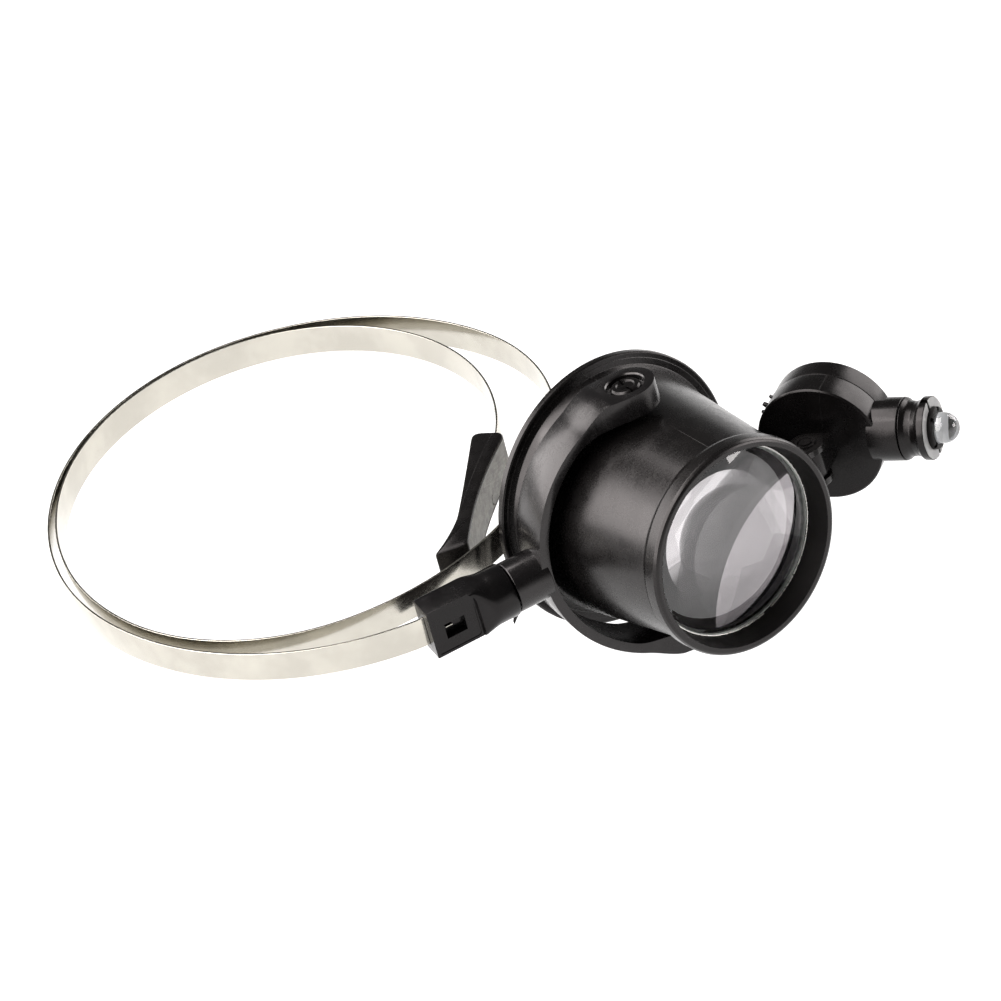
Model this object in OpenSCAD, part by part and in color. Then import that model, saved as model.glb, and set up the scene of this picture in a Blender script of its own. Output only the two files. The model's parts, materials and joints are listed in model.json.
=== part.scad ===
// Headband eye loupe with a fold-out lamp.
// Origin: centre of the rear eye rim. +Y points out of the eye rim towards the head, so the
// loupe looks along -Y. +Z is the loupe's tilt axis, +X is the lamp side. "s" is the distance
// forward of the eye rim, so a point at s lies at y = -s. Millimetres.

/* [Loupe barrel] */
// Radius of the eye rim
rim_r = 22.9; // [22:0.1:23]
// Thickness of the eye rim's lip
rim_t = 1.3; // [1:0.1:2]
// Length from eye rim to front face
barrel_len = 34.2; // [33:0.2:37]
// Outer radius of the barrel just in front of the rim
body_rear_r = 19.6; // [19:0.1:19.8]
// Outer radius of the barrel just behind the front bead
body_front_r = 16.9; // [16.6:0.1:17.4]
// Outer radius of the front bead
bead_r = 17.7; // [17.5:0.1:18.5]
// Length of the front bead
bead_len = 3.4; // [2.5:0.1:5]
// Wall thickness of the eye cup
wall = 1.9; // [1.6:0.1:2.2]

/* [Lenses] */
// Radius of both lenses
lens_r = 15.6; // [15:0.1:15.6]
// Distance of the front lens edge behind the front face
lens_recess = 4.2; // [3.5:0.1:5]
// Thickness of the front lens at its edge
front_edge = 2.6; // [2:0.1:3]
// Height of each curved face of the front lens
front_sag = 2.6; // [1.5:0.1:3]
// Thickness of the rear lens at its edge
rear_edge = 2.2; // [2:0.1:3]
// Height of the rear lens's curved face
rear_sag = 2.2; // [1.5:0.1:2.6]
// Length of the spacer between the lenses
spacer_len = 5.6; // [5.6:0.1:7]

/* [Yoke] */
// Distance of the tilt axis in front of the eye rim
pivot_s = 12.9; // [12.5:0.1:14]
// Turn of the yoke about the tilt axis at rest
yoke_turn = -10.5; // [-12:0.5:-9]
// Inner radius of the yoke strap
strap_in_r = 21.8; // [21.6:0.1:22.5]
// Thickness of the yoke strap
strap_t = 1.6; // [1.4:0.1:2.2]
// Reach of the yoke strap from the tilt axis towards the front
strap_front = 3.5; // [3:0.1:3.8]
// Reach of the yoke strap from the tilt axis towards the eye rim
strap_rear = 4.7; // [3.5:0.1:4.7]
// Radius of the two lugs
lug_r = 4.75; // [4.5:0.05:5]
// Height of the lug faces above the loupe's axis
lug_top = 23.8; // [23.6:0.1:24.5]
// Radius of the swivel stub
stub_r = 4.25; // [4:0.05:4.5]
// Distance of the stub's shoulder from the tilt axis
stub_end = 28.3; // [27.5:0.1:29]

/* [Headband] */
// Roll of the band about the stub at rest
band_roll = 7.8; // [5:0.1:8]
// Width of the spring-steel band
band_w = 5.4; // [5:0.1:6.5]
// Thickness of the band
band_t = 0.35; // [0.3:0.05:0.5]
// Distance of the socket's open end from the tilt axis
socket_end = 43.2; // [42:0.1:45]
// Half height of the socket
socket_h = 4.6; // [4.5:0.1:5]
// Half thickness of the socket's flat part
socket_t = 2.1; // [2:0.1:2.5]

/* [Lamp] */
// Distance of the lamp hinge pin from the loupe's axis
lamp_x = 21.7; // [21.5:0.1:23]
// Distance of the lamp hinge pin in front of the eye rim
lamp_s = 24.6; // [24:0.1:26]
// Direction of the lamp tube at rest, 90 is straight ahead
lamp_turn = 59; // [50:1:62]
// Radius of the battery housing
disc_r = 10.4; // [10.2:0.05:10.6]
// Thickness of the lower shell
shell_t = 4.6; // [4.5:0.1:5]
// Thickness of the battery cover
cover_t = 3.9; // [3.6:0.1:4.5]
// Radius of the lamp tube
tube_r = 5.1; // [4.8:0.1:5.3]

/* [Hidden] */
$fn = 96;
run = 0.05;      // radial running clearance of a pin in its bore
gap = 0.3;       // clearance between faces of pieces that move apart
over = 0.6;      // how far cutting tools reach past a face

// ---- lenses, from the front back ----
seat_r = lens_r - 1.3;
lens_bore_r = lens_r + 0.1;
ring_t = 0.8;
front_lens_s = barrel_len - lens_recess;
front_lens_back = front_lens_s - front_edge;
rear_lens_s = front_lens_back - spacer_len;
rear_lens_back = rear_lens_s - rear_edge;

// ---- pivots ----
pin_r = 2;
pin_head_r = 2.5;
counterbore_r = 3.05;
counterbore_d = 1.2;
lug_base = body_rear_r + 0.35;
strap_out_r = strap_in_r + strap_t;
strap_w = strap_front + strap_rear;
journal_r = 2.5;
journal_len = 5.1;

// Turns a profile drawn as [radius, s] around the loupe's axis.
module lathe_y() {
    rotate([90, 0, 0]) rotate_extrude() children();
}

// Radius of the sphere that makes a cap of height h over a disc of radius r.
function cap_r(r, h) = (r * r + h * h) / (2 * h);

// Spherical cap over the radius-r disc at s, bulging forwards.
module lens_cap(r, h, s) {
    big = cap_r(r, h);
    steps = 14;
    half = asin(r / big);
    lathe_y() polygon([for (i = [0:steps]) [big * sin(half * i / steps),
        s + h - big + big * cos(half * i / steps)], [0, s]]);
}

// ---------------- loupe ----------------
corner_s = rim_t + 0.9;
flare_s = 6;
flare = 0.8;        // how much wider the barrel is at the rim's corner
bead_s = barrel_len - bead_len;

// Outside of the barrel, as [radius, s] points from the rear face forwards.
function outer_profile() = concat(
    [[rim_r - 0.7, 0], [rim_r - 0.25, 0.15], [rim_r, 0.6], [rim_r, rim_t - 0.3], [rim_r - 0.3, rim_t]],
    [[body_rear_r + flare + 0.4, rim_t + 0.1], [body_rear_r + flare, corner_s]],
    [for (i = [1:5]) [body_rear_r + flare * pow(1 - i / 5, 2),
        corner_s + (flare_s - corner_s) * i / 5]],
    [[body_front_r, bead_s - 0.7], [body_front_r + 0.15, bead_s - 0.3]],
    [for (i = [0:5]) [bead_r - 0.6 + 0.6 * sin(90 * i / 5), bead_s + 0.6 - 0.6 * cos(90 * i / 5)]],
    [[bead_r, barrel_len - 0.7]],
    [for (i = [1:4]) [bead_r - 0.7 + 0.7 * cos(90 * i / 4), barrel_len - 0.7 + 0.7 * sin(90 * i / 4)]]);

// Inside of the barrel, from the front face back to the eye rim.
function inner_profile() = [
    [lens_bore_r + 0.6, barrel_len], [lens_bore_r + 0.25, barrel_len - 0.5],
    [lens_bore_r, barrel_len - 1.4], [lens_bore_r, rear_lens_back],
    [seat_r, rear_lens_back], [seat_r, rear_lens_back - 1.2],
    [body_rear_r - wall - 0.6, pivot_s + 2], [body_rear_r - wall, corner_s + 3],
    [rim_r - wall - 0.5, 0.5], [rim_r - wall, 0]];

ear_t = 1.2;
ear_gap = 4.7;
ear_r = 3;
hinge_r = 1;

// One clevis ear, its lower face at z = 0, reaching from the barrel wall to the hinge pin.
module clevis_ear() {
    root_r = 15.9;
    difference() {
        union() {
            translate([lamp_x, -lamp_s, 0]) cylinder(r = ear_r, h = ear_t);
            linear_extrude(ear_t) polygon([[root_r, -lamp_s - 4.6], [lamp_x - 1.6, -lamp_s - ear_r + 0.3],
                [lamp_x, -lamp_s - ear_r], [lamp_x, -lamp_s + ear_r],
                [lamp_x - 1.6, -lamp_s + ear_r - 0.3], [root_r, -lamp_s + 5.2]]);
        }
        translate([lamp_x, -lamp_s, -over]) cylinder(r = hinge_r, h = ear_t + 2 * over, $fn = 48);
        rotate([90, 0, 0]) cylinder(r = body_front_r - 0.9, h = barrel_len);
    }
}

module loupe_barrel() {
    color("#262120") {
        difference() {
            lathe_y() polygon(concat(outer_profile(), inner_profile()));
            for (side = [-1, 1]) translate([0, -pivot_s, side * (body_rear_r - 1)])
                cylinder(r = pin_r, h = 8, center = true, $fn = 64);
        }
        for (z = [ear_gap / 2, -ear_gap / 2 - ear_t]) translate([0, 0, z]) clevis_ear();
    }
}

module front_lens() {
    color([0.85, 0.88, 0.87, 0.4]) {
        lens_cap(lens_r - 0.6, front_sag, front_lens_s);
        rotate([90, 0, 0]) translate([0, 0, front_lens_back]) cylinder(r = lens_r, h = front_edge);
        translate([0, -2 * front_lens_back, 0]) mirror([0, 1, 0])
            lens_cap(lens_r - 1, front_sag, front_lens_back);
    }
}

module rear_lens() {
    color([0.85, 0.88, 0.87, 0.4]) {
        lens_cap(lens_r - 1, rear_sag, rear_lens_s);
        rotate([90, 0, 0]) translate([0, 0, rear_lens_back]) cylinder(r = lens_r, h = rear_edge);
    }
}

// A plain ring around the loupe's axis from s to s + len.
module ring_y(outer, inner, s, len) {
    rotate([90, 0, 0]) translate([0, 0, s]) difference() {
        cylinder(r = outer, h = len);
        translate([0, 0, -over]) cylinder(r = inner, h = len + 2 * over);
    }
}

module lens_spacer() {
    color("#949b96") ring_y(lens_r, lens_r - 0.9, rear_lens_s, spacer_len);
}

// Split spring ring that holds the lenses in from the front.
module lens_retaining_ring() {
    color("#8d8a84") difference() {
        ring_y(lens_bore_r, lens_r - 0.5, front_lens_s, ring_t);
        translate([3, -front_lens_s - ring_t / 2, -lens_bore_r]) cube([1.6, 3, 3], center = true);
    }
}

// ---------------- yoke ----------------

// Places a piece that is drawn about the tilt axis and the stub's axis.
module at_yoke() {
    translate([0, -pivot_s, 0]) rotate([0, 0, yoke_turn]) children();
}

// Places a piece that also turns with the band about the stub.
module at_band() {
    at_yoke() rotate([band_roll, 0, 0]) children();
}

// Half ring of the strap, on the -X side, between the two lugs.
module strap() {
    rotate([90, 0, 0]) translate([0, 0, -strap_rear]) rotate([0, 0, 90])
        rotate_extrude(angle = 180) translate([strap_in_r, 0]) strap_section();
}

// Section of the strap: flat inside, with rounded outer edges.
module strap_section() {
    r = 0.7;
    polygon(concat([[0, 0]], [for (i = [0:4]) [strap_t - r + r * sin(22.5 * i), r - r * cos(22.5 * i)]],
        [for (i = [0:4]) [strap_t - r + r * cos(22.5 * i), strap_w - r + r * sin(22.5 * i)]], [[0, strap_w]]));
}

// Upper lug with the hole and counterbore cut later.
module lug() {
    lip = 0.5;
    translate([0, 0, lug_base]) cylinder(r = lug_r, h = lug_top - lug_base - lip);
    translate([0, 0, lug_top - lip]) cylinder(r1 = lug_r, r2 = lug_r - lip, h = lip);
    translate([-9, -strap_front, lug_base + 0.6]) intersection() {
        cube([9, strap_w, strap_out_r - lug_base]);
        translate([9, strap_w + 1, -lug_base - 0.6]) rotate([90, 0, 0]) cylinder(r = strap_out_r, h = strap_w + 2);
    }
}

module yoke() {
    color("#2a2422") at_yoke() {
        difference() {
            union() {
                strap();
                for (side = [0, 1]) mirror([0, 0, side]) lug();
            }
            for (side = [0, 1]) mirror([0, 0, side]) {
                cylinder(r = pin_r + run, h = 30, $fn = 64);
                translate([0, 0, lug_top - counterbore_d]) cylinder(r = counterbore_r, h = 5, $fn = 64);
            }
        }
        // stub with its shoulder, journal and snap head
        rotate([0, -90, 0]) {
            translate([0, 0, strap_in_r + 0.4]) cylinder(r = stub_r, h = stub_end - strap_in_r - 0.4);
            cylinder_from(stub_end - 1, journal_r, journal_len - 0.3);
            cylinder_from(stub_end + journal_len - 1.5, journal_r + 0.35, 1.2);
        }
    }
}

// Cylinder along Z that starts at z.
module cylinder_from(z, r, h) {
    translate([0, 0, z]) cylinder(r = r, h = h, $fn = 64);
}

// Split snap pin pressed into the barrel wall, with its head in the lug's counterbore.
module pivot_pin() {
    head_z = lug_top - counterbore_d + run;
    color("#1c1918") translate([0, -pivot_s, 0]) rotate([0, 0, yoke_turn]) difference() {
        union() {
            cylinder_from(body_rear_r - wall - 0.2, pin_r, head_z - body_rear_r + wall + 0.4);
            cylinder_from(head_z, pin_head_r, 0.7);
            translate([0, 0, head_z + 0.7]) cylinder(r1 = pin_head_r, r2 = pin_head_r - 0.3, h = 0.3, $fn = 64);
        }
        translate([-0.35, -4, head_z - 2]) cube([0.7, 8, 5]);
    }
}

module upper_pivot_pin() {
    pivot_pin();
}

module lower_pivot_pin() {
    mirror([0, 0, 1]) pivot_pin();
}

// ---------------- headband ----------------
slot_h = band_w + 0.3;
slot_t = band_t + 0.5;
slot_depth = 6.4;
window = [-40.8, -37.2, -1.9, 1];     // x and z reach of the latch window in the band socket
tab = [-40.6, -39.2, -1.2, 0.4];      // x and z reach of the band's latch tab

module band_socket() {
    neck = 3.6;      // length of the round end
    color("#211d1c") at_band() difference() {
        union() {
            rotate([0, -90, 0]) {
                cylinder_from(stub_end + gap, socket_h - 0.1, neck);
                hull() {
                    translate([0, 0, stub_end + gap + neck]) cylinder(r = socket_h - 0.1, h = 0.01, $fn = 32);
                    translate([-socket_h, -socket_t, stub_end + neck + 3]) cube([2 * socket_h, 2 * socket_t, 0.01]);
                }
            }
            translate([-socket_end, -socket_t, -socket_h])
                cube([socket_end - stub_end - neck - 2.9, 2 * socket_t, 2 * socket_h]);
        }
        // bore and snap groove for the yoke's journal
        rotate([0, -90, 0]) {
            cylinder_from(stub_end - 1, journal_r + run, journal_len + 1);
            cylinder_from(stub_end + journal_len - 1.8, journal_r + 0.65, 1.8);
        }
        // slot for the band and window for its latch
        translate([-socket_end - 1, -slot_t / 2, -slot_h / 2]) cube([slot_depth + 1, slot_t, slot_h]);
        translate([window[0], -socket_t - 1, window[2]])
            cube([window[1] - window[0], socket_t + 1, window[3] - window[2]]);
    }
}

// Radii of the band's turns, one for each arc_step, from the socket to the pad.
turn_r = [48.2, 44.6, 40.4, 47.2, 34.6, 48.2, 37.8, 43.6, 38, 37.6, 34.6];
arc_step = 60;
facets = 12;          // straight facets in one arc
mouth_bend = 9.9;     // bend just outside the socket
mouth_r = 12;
band_steps = 10 * facets + 12;

// Heading of the band's facet i, 180 is straight out of the socket, falling clockwise.
function band_heading(i) = 180 - mouth_bend - (i + 0.5) * arc_step / facets;
function facet_len(i) = 2 * turn_r[floor(i / facets)] * sin(arc_step / facets / 2);
// Running sum of the facets, as the band's centre points.
function band_walk(i, p, n) = i == n ? [p]
    : concat([p], band_walk(i + 1, p + facet_len(i) * [cos(band_heading(i)), sin(band_heading(i))], n));
mouth_end = [-socket_end - mouth_r * sin(mouth_bend), mouth_r * (1 - cos(mouth_bend))];
mouth = [for (i = [0:3]) [-socket_end - mouth_r * sin(mouth_bend * i / 4), mouth_r * (1 - cos(mouth_bend * i / 4))]];
band_line = concat([[-socket_end + slot_depth - 0.4, 0]], mouth, band_walk(0, mouth_end, band_steps));

band_end = band_line[len(band_line) - 1];
// The pad lies along the band's last facet, and the band ends straight inside it.
pad_heading = band_heading(band_steps - 1);
pad_along = [cos(pad_heading), sin(pad_heading)];
pad_across = [-pad_along[1], pad_along[0]];
band_path = concat(band_line, [band_end + 1.6 * pad_along]);

// Points beside a line, at a distance d to its left.
function beside(line, d) = [for (i = [0:len(line) - 1])
    let (a = line[max(i - 1, 0)], b = line[min(i + 1, len(line) - 1)], t = (b - a) / norm(b - a))
    line[i] + d * [-t[1], t[0]]];
function reversed(list) = [for (i = [len(list) - 1:-1:0]) list[i]];
// Outline of a strip of thickness t along a line.
function strip(line, t) = concat(beside(line, t / 2), reversed(beside(line, -t / 2)));

module steel_band() {
    color("#b9b3a6") at_band() {
        translate([0, 0, -band_w / 2]) linear_extrude(band_w) polygon(strip(band_path, band_t));
        // latch tab, bent out into the socket's window
        translate([tab[0], -socket_t + 0.9, tab[2]])
            cube([tab[1] - tab[0], socket_t - 0.9, tab[3] - tab[2]]);
    }
}

// ---------------- head pad ----------------
// Drawn along +X from its far end, where the band enters, with its outer side towards +Y.
pad_len = 31;
pad_waist = 21.5;      // where the head side is nearest to the centre line
pad_h = 8.1;
pad_base = -4.9;       // lower face, from the band's centre line
pad_taper = 2.8;       // how much shorter the outer side is
grip_t = 0.6;
grip_h = 6.9;
band_depth = 3.6;      // length of curved band inside the pad
band_offset = 1.15;    // the band lies this far to the outer side
pad_far = band_end - band_depth * pad_along - band_offset * pad_across;
pad_steps = 14;

// Offset of the pad's head side and its outer side from the centre line, at x.
function pad_inner(x) = -1 - (x < pad_waist ? 2.05 * pow(1 - x / pad_waist, 1.15)
    : 1.85 * pow((x - pad_waist) / (pad_len - pad_waist), 1.7));
function pad_outer(x) = 1.35 + 1.4 * pow(2 * x / pad_len - 1, 2);

module at_pad() {
    at_band() translate([pad_far[0], pad_far[1], 0]) rotate([0, 0, pad_heading]) children();
}

// Points of one side of the pad from x0 to x1.
function pad_side(x0, x1, outer) = [for (i = [0:pad_steps])
    let (x = x0 + (x1 - x0) * i / pad_steps) [x, outer ? pad_outer(x) : pad_inner(x)]];

module head_pad() {
    color("#1d1a19") difference() {
        at_pad() difference() {
            translate([0, 0, pad_base]) linear_extrude(pad_h)
                polygon(concat(pad_side(0, pad_len, false), reversed(pad_side(0, pad_len - pad_taper, true))));
            translate([0, 0, pad_base + (pad_h - grip_h) / 2]) linear_extrude(grip_h) grip_outline(over);
        }
        at_band() translate([0, 0, -band_w / 2]) linear_extrude(band_w) polygon(strip(band_path, band_t));
    }
}

// Plan of the grip plate that is let into the pad's outer side.
module grip_outline(beyond) {
    edge = 1;
    side = pad_side(edge, pad_len - pad_taper - edge, true);
    polygon(concat([for (p = side) p - [0, grip_t]], reversed([for (p = side) p + [0, beyond]])));
}

module pad_grip_plate() {
    color("#5d5a57") at_pad() difference() {
        translate([0, 0, pad_base + (pad_h - grip_h) / 2]) linear_extrude(grip_h) grip_outline(0);
        // fine upright grooves
        for (x = [3:1.5:pad_len - 5]) translate([x, pad_outer(x) + 0.2, 0]) cube([0.5, 0.8, 12], center = true);
    }
}

// ---------------- lamp ----------------
// Drawn about the hinge pin: +X along the tube, +Y out through the battery cover.
shell_y = 4.9;             // distance of the shell's face from the hinge pin
split_y = shell_y + shell_t;
cover_y = split_y + 0.2;
tube_y = 8.9;              // distance of the tube's axis from the hinge pin
cell_r = 8;
cell_t = 2;
cell_pocket_r = 8.3;
cell_floor = shell_y + 1.3;
spigot_r = 9;
spigot_len = 1.5;
shoulder_x = 13.6;         // end of the tube, where the lamp head starts
head_end = 18.2;           // end flange of the lamp head
led_r = 2.5;

module at_lamp() {
    translate([lamp_x, -lamp_s, 0]) rotate([0, 0, -lamp_turn]) children();
}

// Disc about the battery housing's axis from y to y + h.
module disc(r, y, h) {
    translate([0, y, 0]) rotate([-90, 0, 0]) cylinder(r = r, h = h);
}

// Cylinder about the lamp tube's axis from x to x + h.
module tube(r, x, h, sides = 64) {
    translate([x, tube_y, 0]) rotate([0, 90, 0]) cylinder(r = r, h = h, $fn = sides);
}

module lamp_hinge_pin() {
    color("#3a3736") translate([lamp_x, -lamp_s, 0]) {
        cylinder_from(-ear_gap / 2 - ear_t, hinge_r, ear_gap + 2 * ear_t + 0.3);
    }
}

module lamp_housing() {
    knuckle_h = ear_gap - 2 * 0.15;
    color("#171514") at_lamp() difference() {
        union() {
            disc(disc_r, shell_y, shell_t);
            cylinder_from(-knuckle_h / 2, 2.5, knuckle_h);
            translate([-2.5, 0, -knuckle_h / 2]) cube([5, shell_y + 0.5, knuckle_h]);
            intersection() {
                tube(tube_r, 6, shoulder_x - 6);
                union() {
                    translate([0, shell_y - 2, -10]) cube([30, split_y - shell_y + 2, 20]);
                    translate([disc_r + 0.35, shell_y - 2, -10]) cube([30, 20, 20]);
                }
            }
        }
        cylinder_from(-5, hinge_r + run, 10);
        disc(cell_pocket_r, cell_floor, 20);
        disc(spigot_r + run, split_y - spigot_len - 0.2, 20);
        tube(3.1 + run, 6, 20);
    }
}

module contact_spring() {
    color("#a9a08c") at_lamp() {
        // leaf on the pocket's floor with a raised tongue under the cells
        translate([-5, cell_floor, -2]) cube([10, 0.3, 4]);
        translate([-1, cell_floor + 0.2, -2]) cube([2, 0.5, 4]);
        translate([5, cell_floor, -2]) cube([3, 0.3, 1.2]);
    }
}

module coin_cells() {
    color("#c9c7c2") at_lamp() {
        disc(cell_r, cell_floor + 0.7, cell_t);
        disc(cell_r, cell_floor + 0.75 + cell_t, cell_t - 0.25);
    }
}

module contact_plate() {
    color("#a9a08c") at_lamp() disc(5.5, cover_y + 1.5, 0.3);
}

module battery_cover() {
    color("#1b1918") at_lamp() difference() {
        union() {
            disc(disc_r - 0.1, cover_y, cover_t - 0.8);
            translate([0, cover_y + cover_t - 0.8, 0]) rotate([-90, 0, 0])
                cylinder(r1 = disc_r - 0.1, r2 = disc_r - 0.9, h = 0.8);
            disc(spigot_r, cover_y - spigot_len, spigot_len);
        }
        disc(cell_pocket_r, cover_y - spigot_len - over, spigot_len + 1.8 + over);
        translate([-5, cover_y + cover_t - 1, -0.7]) cube([10, 3, 1.4]);
    }
}

module lamp_head() {
    neck_r = tube_r - 0.7;
    color("#1a1817") at_lamp() difference() {
        union() {
            tube(neck_r, shoulder_x + 0.2, head_end - shoulder_x - 0.2);
            tube(tube_r, head_end - 1.4, 1.4);
            tube(3.1, shoulder_x - 2.5, 5);
        }
        tube(led_r, shoulder_x - 5, 12);
        translate([head_end - 1.2, tube_y - 6, -0.4]) cube([3, 12, 0.8]);
    }
}

module led() {
    color([0.9, 0.93, 0.95, 0.5]) at_lamp() {
        tube(led_r, head_end - 4.5, 6.2, 48);
        translate([head_end + 1.7, tube_y, 0]) sphere(r = led_r, $fn = 48);
    }
}

module led_collar() {
    color("#141212") at_lamp() difference() {
        tube(3.4, head_end, 0.9);
        tube(led_r, head_end - 1, 3);
    }
}

module led_leads() {
    lead_x = disc_r + 0.4;
    color("#b8b4ac") at_lamp() for (z = [-1.27, 1.27])
        translate([0, 0, z]) tube(0.25, lead_x, head_end - 4.5 - lead_x, 16);
}

loupe_barrel();
front_lens();
lens_spacer();
rear_lens();
lens_retaining_ring();
yoke();
upper_pivot_pin();
lower_pivot_pin();
band_socket();
steel_band();
head_pad();
pad_grip_plate();
lamp_hinge_pin();
lamp_housing();
contact_spring();
coin_cells();
contact_plate();
battery_cover();
lamp_head();
led();
led_leads();
led_collar();
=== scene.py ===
"""Looks of the headband eye loupe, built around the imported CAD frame.

Pieces are drawn in millimetres in the local frame of the thing they belong to (loupe, yoke, band or
lamp) and placed in the row frame in metres.
"""
import json
import math

import bmesh
import bpy
from mathutils import Matrix, Vector


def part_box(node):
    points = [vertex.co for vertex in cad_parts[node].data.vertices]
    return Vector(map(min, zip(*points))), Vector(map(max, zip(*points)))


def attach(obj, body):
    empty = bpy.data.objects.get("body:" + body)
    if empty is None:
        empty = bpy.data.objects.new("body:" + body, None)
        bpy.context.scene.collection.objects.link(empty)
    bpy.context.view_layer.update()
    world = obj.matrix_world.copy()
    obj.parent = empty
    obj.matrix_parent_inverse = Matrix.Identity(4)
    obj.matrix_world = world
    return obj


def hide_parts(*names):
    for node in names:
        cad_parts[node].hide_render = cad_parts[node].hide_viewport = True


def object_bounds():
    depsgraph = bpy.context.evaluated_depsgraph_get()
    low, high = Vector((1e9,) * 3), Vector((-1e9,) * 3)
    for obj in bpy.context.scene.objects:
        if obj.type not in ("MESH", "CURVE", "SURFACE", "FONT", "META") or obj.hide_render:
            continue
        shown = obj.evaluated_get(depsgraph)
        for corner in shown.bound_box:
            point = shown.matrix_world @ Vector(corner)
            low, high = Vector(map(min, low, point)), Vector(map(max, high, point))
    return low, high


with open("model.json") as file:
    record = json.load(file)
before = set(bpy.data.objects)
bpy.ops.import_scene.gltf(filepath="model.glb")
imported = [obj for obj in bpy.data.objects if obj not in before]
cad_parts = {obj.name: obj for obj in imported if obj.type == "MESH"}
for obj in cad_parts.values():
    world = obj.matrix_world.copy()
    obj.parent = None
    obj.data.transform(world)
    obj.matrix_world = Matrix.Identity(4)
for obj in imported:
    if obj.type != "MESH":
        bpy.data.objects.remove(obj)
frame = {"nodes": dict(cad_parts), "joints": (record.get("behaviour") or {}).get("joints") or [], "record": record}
cad_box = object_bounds()

MM = 0.001

# ------------------------------------------------------------------ places, from the frame
record = frame["record"]
joints = {j["name"]: j for j in frame["joints"]}
mounts = {m["name"]: m for m in record["mounts"]}


def box_mm(node):
    """Lowest and highest corner of a CAD node in millimetres."""
    low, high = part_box(node)
    return low / MM, high / MM


def heading(axis):
    """Direction of a horizontal axis in degrees from +X towards +Y."""
    return math.degrees(math.atan2(axis[1], axis[0]))


def local_frame(origin, turn, roll=0.0):
    """Matrix from millimetres in a local frame to metres in the row frame."""
    return (Matrix.Translation(origin) @ Matrix.Rotation(math.radians(turn), 4, "Z")
            @ Matrix.Rotation(math.radians(roll), 4, "X") @ Matrix.Scale(MM, 4))


band_roll = 7.8
pivot = joints["loupe_tilt"]["pos_m"]
yoke_turn = heading(joints["band_swivel"]["axis"])
lamp_pos = joints["lamp_hinge"]["pos_m"]
lamp_turn = heading(joints["lamp_switch"]["axis"])

# each turns local Z into the direction of its name
ALONG_X = Matrix.Rotation(math.radians(90), 4, "Y")
ALONG_MINUS_X = Matrix.Rotation(math.radians(-90), 4, "Y")
ALONG_Y = Matrix.Rotation(math.radians(-90), 4, "X")
ALONG_MINUS_Y = Matrix.Rotation(math.radians(90), 4, "X")

LOUPE = Matrix.Scale(MM, 4)
LOUPE_AXIS = LOUPE @ ALONG_MINUS_Y   # local Z runs forward along the loupe
YOKE = local_frame(pivot, yoke_turn)
BAND = local_frame(pivot, yoke_turn, band_roll)
LAMP = local_frame(lamp_pos, lamp_turn)

pivot_s = -pivot[1] / MM
rim_r = box_mm("loupe_barrel")[1].z
barrel_len = -box_mm("loupe_barrel")[0].y
bead_r = mounts["front_rim"]["dims"]["r_mm"]
lens_face_s = -box_mm("lens_retaining_ring")[1].y                # rim of the front lens
lens_rear_s = -box_mm("rear_lens")[1].y
lens_r = box_mm("front_lens")[1].z
lug_top = box_mm("yoke")[1].z
band_w = 5.4


# ------------------------------------------------------------------ mesh tools
def raw(name, verts, faces):
    """New object from plain vertices and faces."""
    mesh = bpy.data.meshes.new(name)
    mesh.from_pydata([tuple(v) for v in verts], [], faces)
    obj = bpy.data.objects.new(name, mesh)
    bpy.context.scene.collection.objects.link(obj)
    return obj


MERGE = 1e-4   # vertices closer than this are one, in the mesh's own unit


def tidy_mesh(obj):
    """Merges doubles and turns all faces outwards."""
    bm = bmesh.new()
    bm.from_mesh(obj.data)
    bmesh.ops.remove_doubles(bm, verts=bm.verts, dist=MERGE)
    bmesh.ops.dissolve_degenerate(bm, edges=bm.edges, dist=MERGE)
    bmesh.ops.delete(bm, geom=[e for e in bm.edges if e.is_wire], context="EDGES")
    bmesh.ops.recalc_face_normals(bm, faces=bm.faces)
    bm.to_mesh(obj.data)
    bm.free()
    return obj


def modified(obj, kind, **settings):
    """Applies one modifier to the object's mesh."""
    modifier = obj.modifiers.new(kind, kind)
    for key, value in settings.items():
        setattr(modifier, key, value)
    graph = bpy.context.evaluated_depsgraph_get()
    mesh = bpy.data.meshes.new_from_object(obj.evaluated_get(graph))
    obj.modifiers.clear()
    obj.data = mesh
    return obj


def drop(obj):
    bpy.data.objects.remove(obj)


def combine(obj, tools, operation="DIFFERENCE"):
    """Cuts the tools from an object, or joins them to it."""
    for tool in tools:
        modified(obj, "BOOLEAN", object=tool, operation=operation, solver="MANIFOLD")
        drop(tool)
    return tidy_mesh(obj)


def soften(points, radius, steps):
    """Rounds the corners of a closed outline. A third number on a point is its own radius."""
    out = []
    count = len(points)
    for i, point in enumerate(points):
        here = Vector(point[:2])
        back = Vector(points[i - 1][:2]) - here
        ahead = Vector(points[(i + 1) % count][:2]) - here
        r = point[2] if len(point) > 2 else radius
        if r <= 0 or back.length < 1e-6 or ahead.length < 1e-6:
            out.append(tuple(here))
            continue
        turn = back.angle(ahead)
        reach = min(r / max(math.tan(turn / 2), 0.05), back.length * 0.48, ahead.length * 0.48)
        start = here + back.normalized() * reach
        end = here + ahead.normalized() * reach
        for k in range(steps + 1):
            t = k / steps
            out.append(tuple(start * (1 - t) ** 2 + here * (2 * t * (1 - t)) + end * t ** 2))
    return out


def lathe(name, profile, sides):
    """Turns a closed (radius, z) outline about Z."""
    rows = len(profile)
    verts, faces = [], []
    for c in range(sides):
        turn = 2 * math.pi * c / sides
        verts += [(r * math.cos(turn), r * math.sin(turn), z) for r, z in profile]
    for c in range(sides):
        for k in range(rows):
            a, b = c * rows + k, c * rows + (k + 1) % rows
            d, e = ((c + 1) % sides) * rows + k, ((c + 1) % sides) * rows + (k + 1) % rows
            faces.append((a, d, e, b))
    return tidy_mesh(raw(name, verts, faces))


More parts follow.
